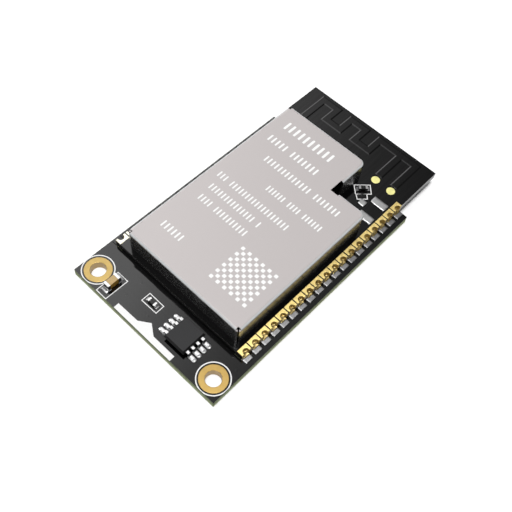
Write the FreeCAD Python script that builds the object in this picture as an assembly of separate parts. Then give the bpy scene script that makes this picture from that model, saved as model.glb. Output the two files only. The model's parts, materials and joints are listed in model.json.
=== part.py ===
import FreeCAD, Part
import math
import os

# A short-range radio module, soldered along its two long edges to a small carrier board.
# The carrier has two plated mounting holes and a few parts along its front end, and the
# antenna end of the module reaches out past the carrier's back edge.
# +X is to the right, +Y runs from the mounting holes to the antenna, +Z is up.
# The origin is on the carrier's underside, in the middle of the overall length and width.
# All sizes are in millimetres.

os.makedirs("parts", exist_ok=True)

# Carrier board, a little wider than the module on both sides
carrier_side_margin = 0.92
carrier_length = 29.8
carrier_thickness = 1.0

# Plated mounting holes at the two front corners
hole_inset = 1.69
hole_radius = 0.83
hole_wall = 0.05
ring_radius = 1.46
ring_thickness = 0.035

# Module board, set back from the carrier's front edge
module_width = 18.0
module_length = 31.4
module_thickness = 0.8
module_side_offset = -0.2
module_front_setback = 4.95

# Solder land that carries the module and the small parts
land_height = 0.05

# Plated half-hole contacts along both long edges of the module
contact_count = 19
contact_pitch = 1.3235
contact_width = 1.2
contact_depth = 0.71
contact_hole_radius = 0.39
contact_hole_inset = 0.08
plating = 0.03

# Flat sides that stand for a full circle on the small round forms that repeat many times
open_hole_sides = 16
hidden_hole_sides = 10
foot_pad_sides = 24
steps_per_corner = 3

# Lands of the carrier under those contacts, which sit a little to the front of them
land_width = 0.98
land_shift = -0.155
land_outboard = 0.55
land_inboard = 0.9
land_corner = 0.14

# Ground land under the middle of the module
ground_land_size = 6.0
ground_land_from_front = 14.0

# Shield can folded from one sheet
can_side_margin = 1.23
can_front_margin = 0.57
can_back_margin = 6.43
can_height = 2.5
sheet = 0.2
bend_radius = 0.3
slit_corner_radius = 0.6
free_corner_radius = 0.8
inner_corner_radius = 0.35

# Step in the can's back right corner, which leaves room for the connector lands
step_width = 4.3
step_length = 5.37

# Open relief where the two walls of the step meet
relief_back = 0.34
relief_front = 0.35
relief_right = 0.68
relief_along = 1.43

# Slits and small square notches at the three slit corners
slit_width = 0.15
slit_start = 0.25
notch_reach = 0.44
notch_depth = 0.3

# Folded antenna track at the back of the module
track_width = 0.7
track_height = 0.05
track_left_margin = 2.11
track_right_margin = 2.16
track_long_gap = 3.08
track_edge_margin = 0.55
track_fold = 2.82
track_open_end = 5.6
track_foot_end = 4.98

# Round test pads at the antenna's two feet
foot_pad_radius = 0.5
foot_pad_height = 0.03
foot_pad_from_back = 5.73
foot_pad_shift = 0.11
neck_width = 0.3

# Bare lands for a small coaxial connector
socket_centre_from_right = 1.84
socket_centre_from_back = 9.24
socket_ground_length = 1.88
socket_ground_width = 0.84
socket_ground_spacing = 2.58
socket_signal_size = 0.8
socket_signal_shift = 1.41
socket_land_corner = 0.1

# Small part on the module between the can and the antenna, turned on the board
tuning_from_right = 4.4
tuning_from_back = 7.76
tuning_turn = 45.0
tuning_length = 1.0
tuning_width = 0.5
tuning_height = 0.35
tuning_end = 0.25
tuning_land_length = 0.5
tuning_land_overhang = 0.25

# Eight-lead chip on the carrier
chip_from_right = 6.59
chip_from_front = 2.67
chip_body_x = 2.72
chip_body_y = 2.98
chip_body_height = 0.78
chip_standoff = 0.1
chip_draft = 0.15
chip_lead_span = 4.55
chip_lead_pitch = 0.655
chip_lead_width = 0.3
chip_lead_thickness = 0.14
chip_lead_rise = 0.42
chip_foot_length = 0.55
chip_leads_per_side = 4
chip_pad_width = 0.49
chip_pad_length = 0.98
chip_pad_overhang = 0.24

# Ceramic capacitor beside the left mounting hole
capacitor_from_left = 3.95
capacitor_from_front = 1.65
capacitor_length = 1.6
capacitor_width = 0.76
capacitor_height = 0.78
capacitor_end = 0.3
capacitor_land_length = 0.75
capacitor_land_overhang = 0.42

# Chip resistor in the middle of the front end
resistor_from_right = 11.52
resistor_from_front = 3.0
resistor_length = 1.0
resistor_width = 0.48
resistor_height = 0.35
resistor_end = 0.22
resistor_land_length = 0.5
resistor_land_overhang = 0.28

# Parts under the can, placed from its walls and from each other
radio_chip_size = 5.0
radio_chip_height = 0.85
radio_chip_gap = 3.05
radio_contacts_per_side = 8
radio_contact_pitch = 0.5
radio_contact_width = 0.25
radio_contact_length = 0.4
radio_contact_height = 0.04
radio_ground_size = 3.5

memory_body_x = 3.9
memory_body_y = 4.9
memory_body_height = 1.5
memory_standoff = 0.1
memory_draft = 0.2
memory_lead_span = 6.0
memory_lead_pitch = 1.27
memory_lead_width = 0.4
memory_lead_thickness = 0.2
memory_lead_rise = 0.85
memory_foot_length = 0.65
memory_leads_per_side = 4
memory_wall_gap = 0.5
memory_front_gap = 1.0

crystal_size_x = 3.2
crystal_size_y = 2.5
crystal_base_height = 0.4
crystal_lid_height = 0.4
crystal_lid_inset = 0.2
crystal_corner = 0.3
crystal_wall_gap = 1.2

bypass_length = 1.0
bypass_width = 0.5
bypass_height = 0.5
bypass_end = 0.22
bypass_count = 6
bypass_pitch = 1.2
bypass_wall_gap = 1.2

coil_length = 1.0
coil_width = 0.5
coil_height = 0.55
coil_end = 0.22
coil_count = 3
coil_pitch = 1.3
coil_wall_gap = 1.6

# Levels and places worked out from the sizes above
carrier_width = module_width + 2 * carrier_side_margin
overall_length = module_front_setback + module_length
carrier_left = -carrier_width / 2
carrier_right = carrier_width / 2
carrier_front = -overall_length / 2
carrier_back = carrier_front + carrier_length
module_left = module_side_offset - module_width / 2
module_right = module_side_offset + module_width / 2
module_front = carrier_front + module_front_setback
module_back = module_front + module_length
contact_bottom = carrier_thickness + land_height
core_bottom = contact_bottom + plating
module_top = contact_bottom + module_thickness
contact_top = module_top + plating
can_left = module_left + can_side_margin
can_right = module_right - can_side_margin
can_front = module_front + can_front_margin
can_back = module_back - can_back_margin
step_x = can_right - step_width
step_y = can_back - step_length
memory_left_x = can_left + sheet + memory_wall_gap + memory_lead_span / 2
memory_right_x = can_right - sheet - memory_wall_gap - memory_lead_span / 2
memory_y = can_front + sheet + memory_front_gap + memory_body_y / 2
radio_chip_x = (can_left + can_right) / 2
radio_chip_y = memory_y + memory_body_y / 2 + radio_chip_gap + radio_chip_size / 2
crystal_x = can_left + sheet + crystal_wall_gap + crystal_size_x / 2
crystal_y = can_back - sheet - crystal_wall_gap - crystal_size_y / 2
bypass_x = can_left + sheet + bypass_wall_gap + bypass_length / 2
bypass_first_y = radio_chip_y - (bypass_count - 1) / 2 * bypass_pitch
coil_x = can_right - sheet - coil_wall_gap - coil_length / 2
coil_first_y = radio_chip_y - (coil_count - 1) / 2 * coil_pitch


def box(x0, x1, y0, y1, z0, z1):
    """A block between two opposite corners."""
    return Part.makeBox(x1 - x0, y1 - y0, z1 - z0, FreeCAD.Vector(x0, y0, z0))


def centred_box(x, y, size_x, size_y, z0, z1):
    """A block around a centre in plan."""
    return box(x - size_x / 2, x + size_x / 2, y - size_y / 2, y + size_y / 2, z0, z1)


def cylinder(x, y, radius, z0, z1):
    """An upright cylinder."""
    return Part.makeCylinder(radius, z1 - z0, FreeCAD.Vector(x, y, z0))


def small_round(x, y, radius, sides, z0, z1):
    """An upright rod with flat sides, for the small round forms that repeat many times."""
    turns = [2 * math.pi * index / sides for index in range(sides + 1)]
    points = [FreeCAD.Vector(x + radius * math.cos(a), y + radius * math.sin(a), z0) for a in turns]
    return Part.Face(Part.makePolygon(points)).extrude(FreeCAD.Vector(0, 0, z1 - z0))


def rounded_prism(points, radii, z0, z1):
    """An upright prism over an outline whose corners are rounded, each with its own radius."""
    count = len(points)
    ends = []
    for index in range(count):
        corner = FreeCAD.Vector(points[index][0], points[index][1], z0)
        before = FreeCAD.Vector(points[index - 1][0], points[index - 1][1], z0)
        after = FreeCAD.Vector(points[(index + 1) % count][0], points[(index + 1) % count][1], z0)
        to_before = (before - corner).normalize()
        to_after = (after - corner).normalize()
        half_angle = to_before.getAngle(to_after) / 2
        radius = radii[index]
        if radius <= 0:
            ends.append((corner, None, corner))
            continue
        reach = radius / math.tan(half_angle)
        middle = (to_before + to_after).normalize()
        arc_middle = corner + middle * (radius / math.sin(half_angle) - radius)
        ends.append((corner + to_before * reach, arc_middle, corner + to_after * reach))
    edges = []
    for index in range(count):
        start, arc_middle, end = ends[index]
        if arc_middle is not None:
            edges.append(Part.Arc(start, arc_middle, end).toShape())
        next_start = ends[(index + 1) % count][0]
        if (next_start - end).Length > 1e-6:
            edges.append(Part.makeLine(end, next_start))
    face = Part.Face(Part.Wire(edges))
    return face.extrude(FreeCAD.Vector(0, 0, z1 - z0))


def small_land(x0, x1, y0, y1, left_radius, right_radius, z0, z1):
    """A small land whose corners are rounded in flat steps, with one radius at each end."""
    outline = []
    for side_x, side_y, start in ((1, 1, 0), (-1, 1, 1), (-1, -1, 2), (1, -1, 3)):
        radius = right_radius if side_x > 0 else left_radius
        centre_x = x1 - radius if side_x > 0 else x0 + radius
        centre_y = y1 - radius if side_y > 0 else y0 + radius
        for index in range(steps_per_corner + 1 if radius > 0 else 1):
            turn = math.pi / 2 * (start + index / steps_per_corner)
            outline.append((centre_x + radius * math.cos(turn), centre_y + radius * math.sin(turn)))
    points = [FreeCAD.Vector(x, y, z0) for x, y in outline + outline[:1]]
    return Part.Face(Part.makePolygon(points)).extrude(FreeCAD.Vector(0, 0, z1 - z0))


def rounded_box(x, y, size_x, size_y, radius, z0, z1):
    """A block around a centre in plan with its four upright edges rounded in flat steps."""
    return small_land(x - size_x / 2, x + size_x / 2, y - size_y / 2, y + size_y / 2, radius, radius, z0, z1)


def rectangle_wire(x, y, size_x, size_y, z):
    """A rectangle around a centre at one level, as a wire."""
    left, right = x - size_x / 2, x + size_x / 2
    front, back = y - size_y / 2, y + size_y / 2
    corners = [(left, front), (right, front), (right, back), (left, back), (left, front)]
    return Part.makePolygon([FreeCAD.Vector(a, b, z) for a, b in corners])


def moulded_body(x, y, size_x, size_y, z0, parting, z1, draft):
    """A moulded chip body that tapers up and down from the level where its leads leave."""
    widest = rectangle_wire(x, y, size_x, size_y, parting)
    upper = rectangle_wire(x, y, size_x - 2 * draft, size_y - 2 * draft, z1)
    lower = rectangle_wire(x, y, size_x - 2 * draft, size_y - 2 * draft, z0)
    top_half = Part.makeLoft([widest, upper], True, True)
    bottom_half = Part.makeLoft([lower, widest], True, True)
    return top_half.fuse(bottom_half).removeSplitter()


def mirrored(shape, x):
    """The mirror image of a shape across the upright plane at x."""
    return shape.mirror(FreeCAD.Vector(x, 0, 0), FreeCAD.Vector(1, 0, 0))


def moved(shape, x, y, z):
    """A copy of a shape, moved."""
    copy = shape.copy()
    copy.translate(FreeCAD.Vector(x, y, z))
    return copy


def save(name, shape):
    """Writes one piece, or one group of like pieces, to its own file."""
    shape.exportStep("parts/" + name + ".step")


# Carrier board with its two mounting holes
hole_places = {
    "left": (carrier_left + hole_inset, carrier_front + hole_inset),
    "right": (carrier_right - hole_inset, carrier_front + hole_inset),
}


def carrier_board():
    """The carrier: a plain board, drilled for the two plated holes and let in for their rings."""
    board = box(carrier_left, carrier_right, carrier_front, carrier_back, 0, carrier_thickness)
    for x, y in hole_places.values():
        drill = cylinder(x, y, hole_radius + hole_wall, 0, carrier_thickness)
        upper_ring = cylinder(x, y, ring_radius, carrier_thickness - ring_thickness, carrier_thickness)
        lower_ring = cylinder(x, y, ring_radius, 0, ring_thickness)
        board = board.cut([drill, upper_ring, lower_ring])
    return board


def hole_plating(x, y):
    """A plated hole: a thin barrel with a flat ring on each face of the board."""
    barrel = cylinder(x, y, hole_radius + hole_wall, 0, carrier_thickness)
    upper_ring = cylinder(x, y, ring_radius, carrier_thickness - ring_thickness, carrier_thickness)
    lower_ring = cylinder(x, y, ring_radius, 0, ring_thickness)
    clear_hole = cylinder(x, y, hole_radius, 0, carrier_thickness)
    return barrel.fuse([upper_ring, lower_ring]).cut(clear_hole).removeSplitter()


# Edge contacts of the module, the lands below them and the board that they clip
contact_places = [module_front + contact_width / 2 + index * contact_pitch for index in range(contact_count)]


def edge_contact():
    """One right-hand contact at y = 0: pads above and below, a side strip and a half-hole barrel."""
    inner = module_right - contact_depth
    half = contact_width / 2
    wrap = box(inner, module_right, -half, half, contact_bottom, contact_top)
    core = box(inner, module_right - plating, -half, half, core_bottom, module_top)
    hole_x = module_right - contact_hole_inset
    hole = small_round(hole_x, 0, contact_hole_radius, hidden_hole_sides, contact_bottom, contact_top)
    opening = small_round(hole_x, 0, contact_hole_radius - plating, open_hole_sides,
                          contact_bottom, contact_top)
    barrel = hole.common(wrap).cut(opening)
    return wrap.cut([core, hole]).fuse(barrel).removeSplitter()


def contact_rows():
    """Both rows of contacts, left and right, as two groups of separate pieces."""
    first = edge_contact()
    right = [moved(first, 0, y, 0) for y in contact_places]
    left = [mirrored(piece, module_side_offset) for piece in right]
    return Part.makeCompound(left), Part.makeCompound(right)


def landing_pad():
    """One right-hand land at y = 0, reaching out past the module's edge."""
    front = land_shift - land_width / 2
    back = land_shift + land_width / 2
    return small_land(module_right - land_inboard, module_right + land_outboard, front, back,
                      0, land_corner, carrier_thickness, contact_bottom)


def landing_rows():
    """The carrier's two rows of lands, one under each contact."""
    first = landing_pad()
    right = [moved(first, 0, y, 0) for y in contact_places]
    left = [mirrored(piece, module_side_offset) for piece in right]
    return Part.makeCompound(left), Part.makeCompound(right)


def module_board():
    """The module's board, notched at every contact for its half hole and its side strip."""
    board = box(module_left, module_right, module_front, module_back, core_bottom, module_top)
    half = contact_width / 2
    cutters = []
    for y in contact_places:
        for edge, inner in ((module_right, module_right - plating), (module_left + plating, module_left)):
            cutters.append(box(inner, edge, y - half, y + half, core_bottom, module_top))
        for hole_x in (module_left + contact_hole_inset, module_right - contact_hole_inset):
            cutters.append(small_round(hole_x, y, contact_hole_radius, hidden_hole_sides,
                                       core_bottom, module_top))
    return board.cut(cutters)


def ground_land():
    """The soldered ground land between carrier and module."""
    y = module_front + ground_land_from_front
    return centred_box(module_side_offset, y, ground_land_size, ground_land_size, carrier_thickness, core_bottom)


# Shield can
def can_outline(inset):
    """The can's corners in plan, all walls moved in by the inset."""
    left, right = can_left + inset, can_right - inset
    front, back = can_front + inset, can_back - inset
    step_left, step_front = step_x - inset, step_y - inset
    return [(left, front), (right, front), (right, step_front), (step_left, step_front),
            (step_left, back), (left, back)]


def can_radii(inset):
    """The corner radii that go with an outline: less by the inset, more at the inner corner."""
    slit = slit_corner_radius - inset
    free = free_corner_radius - inset
    return [slit, slit, free, inner_corner_radius + inset, free, slit]


def top_rounded(shape, level, radius):
    """Rounds every edge that lies at one level."""
    edges = [edge for edge in shape.Edges if abs(edge.BoundBox.ZMin - level) < 1e-6]
    return shape.makeFillet(radius, edges)


def slit_cutters(corner_x, corner_y, out_x, out_y):
    """What is cut from one corner: an upright slit on the diagonal and a square notch on top."""
    can_top = module_top + can_height
    centre_x = corner_x - out_x * slit_corner_radius
    centre_y = corner_y - out_y * slit_corner_radius
    slit = box(slit_start, 2 * slit_corner_radius, -slit_width / 2, slit_width / 2, module_top, can_top)
    slit.rotate(FreeCAD.Vector(0, 0, 0), FreeCAD.Vector(0, 0, 1), math.degrees(math.atan2(out_y, out_x)))
    slit.translate(FreeCAD.Vector(centre_x, centre_y, 0))
    notch_x = sorted((corner_x - out_x * notch_reach, corner_x))
    notch_y = sorted((corner_y - out_y * notch_reach, corner_y))
    notch = box(notch_x[0], notch_x[1], notch_y[0], notch_y[1], can_top - notch_depth, can_top)
    return [slit, notch]


def shield_can():
    """The folded can: an open-bottomed shell with bent top edges, slit corners and a stepped corner."""
    can_top = module_top + can_height
    outside = rounded_prism(can_outline(0), can_radii(0), module_top, can_top)
    outside = top_rounded(outside, can_top, bend_radius)
    inside = rounded_prism(can_outline(sheet), can_radii(sheet), module_top, can_top - sheet)
    cutters = [inside]
    cutters.append(box(step_x - relief_back, step_x + relief_right,
                       step_y - relief_front, step_y + relief_along, module_top, can_top))
    cutters += slit_cutters(can_left, can_front, -1, -1)
    cutters += slit_cutters(can_right, can_front, 1, -1)
    cutters += slit_cutters(can_left, can_back, -1, 1)
    return outside.cut(cutters)


# Antenna and the bare lands at the module's back right corner
track_leg_pitch = (module_width - track_left_margin - track_right_margin - track_long_gap) / 5
track_legs = [module_left + track_left_margin + index * track_leg_pitch for index in range(5)]
track_legs.append(track_legs[4] + track_long_gap)
track_legs.append(track_legs[5] + track_leg_pitch)
track_top = module_back - track_edge_margin
track_low = track_top - track_fold
foot_pad_y = module_back - foot_pad_from_back


def track_strip(x0, x1, y0, y1):
    """A straight stretch of track, given its centre line."""
    half = track_width / 2
    return box(x0 - half, x1 + half, y0, y1, module_top, module_top + track_height)


def antenna_track():
    """The folded track in one piece: upright legs, joined in turn at their back and front ends."""
    leg_ends = [module_back - track_open_end] + [track_low] * 4 + [module_back - track_foot_end] * 2
    pieces = [track_strip(x, x, y, track_top) for x, y in zip(track_legs, leg_ends)]
    for index in (0, 2, 4, 5):
        pieces.append(track_strip(track_legs[index], track_legs[index + 1], track_top - track_width, track_top))
    for index in (1, 3):
        pieces.append(track_strip(track_legs[index], track_legs[index + 1], track_low, track_low + track_width))
    for x in track_legs[5:]:
        pieces.append(box(x - neck_width / 2, x + neck_width / 2, foot_pad_y,
                          module_back - track_foot_end, module_top, module_top + foot_pad_height))
    pads = [small_round(x + foot_pad_shift, foot_pad_y, foot_pad_radius, foot_pad_sides,
                        module_top, module_top + track_height) for x in track_legs[5:]]
    return pieces[0].fuse(pieces[1:]).cut(pads).removeSplitter()


def foot_pads():
    """The round pads where the antenna meets the feed and ground."""
    return Part.makeCompound([
        small_round(x + foot_pad_shift, foot_pad_y, foot_pad_radius, foot_pad_sides,
                    module_top, module_top + foot_pad_height) for x in track_legs[5:]])


socket_x = module_right - socket_centre_from_right
socket_y = module_back - socket_centre_from_back


def socket_ground_lands():
    """The two long lands of the bare connector place."""
    return Part.makeCompound([
        rounded_box(socket_x, socket_y + side * socket_ground_spacing / 2, socket_ground_length,
                    socket_ground_width, socket_land_corner, module_top, module_top + land_height)
        for side in (-1, 1)])


def socket_signal_land():
    """The square land of the bare connector place."""
    return rounded_box(socket_x - socket_signal_shift, socket_y, socket_signal_size, socket_signal_size,
                       socket_land_corner, module_top, module_top + land_height)


# Small two-ended parts, long in X before they are turned
def end_caps(length, width, height, cap, z0):
    """The two metal ends of a small part at the origin."""
    offset = (length - cap) / 2
    return [centred_box(side * offset, 0, cap, width, z0, z0 + height) for side in (-1, 1)]


def middle_body(length, width, height, cap, z0):
    """The body between the two metal ends, a little slimmer than they are."""
    slim = 0.02
    return centred_box(0, 0, length - 2 * cap, width - 2 * slim, z0 + slim, z0 + height - slim)


def end_lands(length, width, land_length, overhang, z0):
    """The two lands under a small part at the origin."""
    offset = length / 2 + overhang - land_length / 2
    return [centred_box(side * offset, 0, land_length, width, z0, z0 + land_height) for side in (-1, 1)]


def placed(shapes, x, y, turn):
    """Like pieces as one group, turned on the spot and moved to their place."""
    group = Part.makeCompound(shapes)
    group.rotate(FreeCAD.Vector(0, 0, 0), FreeCAD.Vector(0, 0, 1), turn)
    group.translate(FreeCAD.Vector(x, y, 0))
    return group


# Chips with bent leads
def bent_lead(inner_x, span, thickness, rise, foot_length, width, y, z0):
    """One right-hand lead: out of the body, down and out again to a flat foot."""
    outer = span / 2
    knee = outer - foot_length
    bend = thickness
    top = z0 + rise
    outline = [(inner_x, top), (knee - bend, top), (knee, z0), (outer, z0), (outer, z0 + thickness),
               (knee + bend / 2, z0 + thickness), (knee - bend / 2, top + thickness), (inner_x, top + thickness)]
    points = [FreeCAD.Vector(x, y - width / 2, z) for x, z in outline]
    face = Part.Face(Part.makePolygon(points + [points[0]]))
    return face.extrude(FreeCAD.Vector(0, width, 0))


def lead_rows(body_x, span, pitch, count, thickness, rise, foot_length, width, z0):
    """All the leads of a chip at the origin, both sides."""
    leads = []
    for index in range(count):
        y = (index - (count - 1) / 2) * pitch
        right = bent_lead(body_x / 2, span, thickness, rise, foot_length, width, y, z0)
        leads += [right, mirrored(right, 0)]
    return leads


chip_x = carrier_right - chip_from_right
chip_y = carrier_front + chip_from_front
chip_foot_level = carrier_thickness + land_height


def carrier_chip_body():
    """The moulded body of the eight-lead chip on the carrier."""
    z0 = chip_foot_level + chip_standoff
    parting = chip_foot_level + chip_lead_rise + chip_lead_thickness / 2
    body = moulded_body(0, 0, chip_body_x, chip_body_y, z0, parting, z0 + chip_body_height, chip_draft)
    leads = carrier_chip_lead_shapes()
    return placed([body.cut(leads)], chip_x, chip_y, 0)


def carrier_chip_lead_shapes():
    """The chip's leads at the origin; they start inside the body's edge."""
    return lead_rows(chip_body_x - 2 * chip_draft, chip_lead_span, chip_lead_pitch, chip_leads_per_side,
                     chip_lead_thickness, chip_lead_rise, chip_foot_length, chip_lead_width, chip_foot_level)


def carrier_chip_lands():
    """The rounded lands under the chip's feet."""
    lands = []
    x = chip_lead_span / 2 + chip_pad_overhang - chip_pad_length / 2
    for index in range(chip_leads_per_side):
        y = (index - (chip_leads_per_side - 1) / 2) * chip_lead_pitch
        for side in (-1, 1):
            lands.append(rounded_box(side * x, y, chip_pad_length, chip_pad_width, chip_pad_width * 0.45,
                                     carrier_thickness, chip_foot_level))
    return placed(lands, chip_x, chip_y, 0)


def memory_lead_shapes():
    """The leads of a memory chip at the origin; they start inside the body's edge."""
    return lead_rows(memory_body_x - 2 * memory_draft, memory_lead_span, memory_lead_pitch,
                     memory_leads_per_side, memory_lead_thickness, memory_lead_rise,
                     memory_foot_length, memory_lead_width, module_top)


def memory_body():
    """The moulded body of a memory chip at the origin, let in around its leads."""
    z0 = module_top + memory_standoff
    parting = module_top + memory_lead_rise + memory_lead_thickness / 2
    body = moulded_body(0, 0, memory_body_x, memory_body_y, z0, parting,
                        z0 + memory_body_height, memory_draft)
    return body.cut(memory_lead_shapes())


def radio_chip_parts():
    """The square leadless radio chip: its body, and its contacts and ground plate below."""
    z0 = module_top
    z1 = z0 + radio_contact_height
    body = centred_box(0, 0, radio_chip_size, radio_chip_size, z1, z0 + radio_chip_height)
    edge = radio_chip_size / 2 - radio_contact_length / 2
    contacts = [centred_box(0, 0, radio_ground_size, radio_ground_size, z0, z1)]
    for index in range(radio_contacts_per_side):
        along = (index - (radio_contacts_per_side - 1) / 2) * radio_contact_pitch
        for side in (-1, 1):
            contacts.append(centred_box(side * edge, along, radio_contact_length, radio_contact_width, z0, z1))
            contacts.append(centred_box(along, side * edge, radio_contact_width, radio_contact_length, z0, z1))
    return body, contacts


def crystal_parts():
    """The timing crystal: a ceramic base and a metal lid."""
    lid_level = module_top + crystal_base_height
    base = rounded_box(0, 0, crystal_size_x, crystal_size_y, crystal_corner, module_top, lid_level)
    lid = rounded_box(0, 0, crystal_size_x - 2 * crystal_lid_inset, crystal_size_y - 2 * crystal_lid_inset,
                      crystal_corner, lid_level, lid_level + crystal_lid_height)
    return base, lid


def row_of(shapes, count, pitch):
    """The same pieces again and again along Y."""
    return [moved(shape, 0, index * pitch, 0) for index in range(count) for shape in shapes]


def upright(shapes, x, y):
    """Like pieces as one group, moved to their place without a turn."""
    return placed(shapes, x, y, 0)


# Carrier
save("carrier_board", carrier_board())
save("hole_plating_left", hole_plating(*hole_places["left"]))
save("hole_plating_right", hole_plating(*hole_places["right"]))
landing_left, landing_right = landing_rows()
save("carrier_lands_left", landing_left)
save("carrier_lands_right", landing_right)
save("ground_land", ground_land())

save("carrier_chip_body", carrier_chip_body())
save("carrier_chip_leads", placed(carrier_chip_lead_shapes(), chip_x, chip_y, 0))
save("carrier_chip_lands", carrier_chip_lands())

capacitor_x = carrier_left + capacitor_from_left
capacitor_y = carrier_front + capacitor_from_front
part_level = carrier_thickness + land_height
save("capacitor_body", placed(
    [middle_body(capacitor_length, capacitor_width, capacitor_height, capacitor_end, part_level)],
    capacitor_x, capacitor_y, 90))
save("capacitor_ends", placed(
    end_caps(capacitor_length, capacitor_width, capacitor_height, capacitor_end, part_level),
    capacitor_x, capacitor_y, 90))
save("capacitor_lands", placed(
    end_lands(capacitor_length, capacitor_width + 0.1, capacitor_land_length, capacitor_land_overhang,
              carrier_thickness),
    capacitor_x, capacitor_y, 90))

resistor_x = carrier_right - resistor_from_right
resistor_y = carrier_front + resistor_from_front
save("resistor_body", placed(
    [middle_body(resistor_length, resistor_width, resistor_height, resistor_end, part_level)],
    resistor_x, resistor_y, 0))
save("resistor_ends", placed(
    end_caps(resistor_length, resistor_width, resistor_height, resistor_end, part_level),
    resistor_x, resistor_y, 0))
save("resistor_lands", placed(
    end_lands(resistor_length, resistor_width, resistor_land_length, resistor_land_overhang,
              carrier_thickness),
    resistor_x, resistor_y, 0))

# Module
save("module_board", module_board())
contacts_left, contacts_right = contact_rows()
save("edge_contacts_left", contacts_left)
save("edge_contacts_right", contacts_right)
save("shield_can", shield_can())
save("antenna_track", antenna_track())
save("antenna_foot_pads", foot_pads())
save("socket_ground_lands", socket_ground_lands())
save("socket_signal_land", socket_signal_land())

tuning_x = module_right - tuning_from_right
tuning_y = module_back - tuning_from_back
tuning_level = module_top + land_height
save("tuning_part_body", placed(
    [middle_body(tuning_length, tuning_width, tuning_height, tuning_end, tuning_level)],
    tuning_x, tuning_y, tuning_turn))
save("tuning_part_ends", placed(
    end_caps(tuning_length, tuning_width, tuning_height, tuning_end, tuning_level),
    tuning_x, tuning_y, tuning_turn))
save("tuning_part_lands", placed(
    end_lands(tuning_length, tuning_width, tuning_land_length, tuning_land_overhang, module_top),
    tuning_x, tuning_y, tuning_turn))

# Under the can
radio_body, radio_contacts = radio_chip_parts()
save("radio_chip_body", upright([radio_body], radio_chip_x, radio_chip_y))
save("radio_chip_contacts", upright(radio_contacts, radio_chip_x, radio_chip_y))
save("store_chip_body", upright([memory_body()], memory_left_x, memory_y))
save("store_chip_leads", upright(memory_lead_shapes(), memory_left_x, memory_y))
save("work_chip_body", upright([memory_body()], memory_right_x, memory_y))
save("work_chip_leads", upright(memory_lead_shapes(), memory_right_x, memory_y))
crystal_base, crystal_lid = crystal_parts()
save("crystal_base", upright([crystal_base], crystal_x, crystal_y))
save("crystal_lid", upright([crystal_lid], crystal_x, crystal_y))
save("bypass_bodies", upright(
    row_of([middle_body(bypass_length, bypass_width, bypass_height, bypass_end, module_top)],
           bypass_count, bypass_pitch), bypass_x, bypass_first_y))
save("bypass_ends", upright(
    row_of(end_caps(bypass_length, bypass_width, bypass_height, bypass_end, module_top),
           bypass_count, bypass_pitch), bypass_x, bypass_first_y))
save("coil_bodies", upright(
    row_of([middle_body(coil_length, coil_width, coil_height, coil_end, module_top)],
           coil_count, coil_pitch), coil_x, coil_first_y))
save("coil_ends", upright(
    row_of(end_caps(coil_length, coil_width, coil_height, coil_end, module_top),
           coil_count, coil_pitch), coil_x, coil_first_y))
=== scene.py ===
# %% [markdown]
# # A shielded radio module on a small carrier board
#
# The real object is two black circuit boards, one soldered flat on the other. The upper
# one carries a folded tin can, a folded antenna track and two rows of gold half-hole
# contacts. The lower one carries the tinned lands, two plated holes and a few parts.
#
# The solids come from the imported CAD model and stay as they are. This lesson lights them,
# gives each of them a finish built from nodes, and adds what CAD leaves out: solder, the
# lacquer where it runs over lands, track and vias, and printed ink.

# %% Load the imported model
import bpy
import json
import math
import numpy as np
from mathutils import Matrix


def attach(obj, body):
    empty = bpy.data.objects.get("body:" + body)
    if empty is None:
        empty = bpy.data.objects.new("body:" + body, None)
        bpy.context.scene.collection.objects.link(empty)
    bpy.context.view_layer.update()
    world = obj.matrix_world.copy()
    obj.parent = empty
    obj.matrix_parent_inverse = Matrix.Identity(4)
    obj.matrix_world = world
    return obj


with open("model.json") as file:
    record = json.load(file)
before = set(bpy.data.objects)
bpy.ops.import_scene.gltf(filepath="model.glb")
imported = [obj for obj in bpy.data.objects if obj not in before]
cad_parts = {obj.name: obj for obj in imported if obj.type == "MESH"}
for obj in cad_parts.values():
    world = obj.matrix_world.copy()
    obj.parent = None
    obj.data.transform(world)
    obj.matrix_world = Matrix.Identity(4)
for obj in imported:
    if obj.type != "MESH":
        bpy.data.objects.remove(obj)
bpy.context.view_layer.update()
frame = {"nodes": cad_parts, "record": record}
nodes = frame["nodes"]
MM = 0.001

# %% [markdown]
# ## The camera
#
# The photograph looks down on the front right corner with a long lens. The place, the turn
# and the lens below were worked out from the corners of the boards and of the can, so a
# point of the model lands on the same point of the picture. No depth of field is used.

# %% Camera
camera_data = bpy.data.cameras.new("camera")
camera_data.lens = 50.01
camera_data.sensor_width = 36
camera_data.clip_start = 0.001
camera_data.clip_end = 10
camera = bpy.data.objects.new("camera", camera_data)
camera.location = (0.0247129, -0.0345920, 0.0641513)
camera.rotation_euler = (0.54139, -0.0705346, 0.7575571)
bpy.context.scene.collection.objects.link(camera)
bpy.context.scene.camera = camera
print("camera looks along", [round(c, 3) for c in -camera.rotation_euler.to_matrix().col[2]])

# %% [markdown]
# ## How light becomes colour
#
# The photograph has pure whites, and its golds keep their hue right up to them, so no film
# curve lies over it. Blender's Standard view shows light in the same plain way: a surface
# that sends back all the light it gets is white, and each finish can have its real colour.

# %% Plain display
view = bpy.context.scene.view_settings
view.view_transform = "Standard"
print("view transform", view.view_transform)

# %% [markdown]
# ## Helpers for node trees
#
# A finish is a small machine of nodes. Written out in full, each one is long, so a helper
# adds a node, sets its inputs and joins sockets in one call. An input that is given a
# socket is joined to it, and any other value is typed into it.

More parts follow.
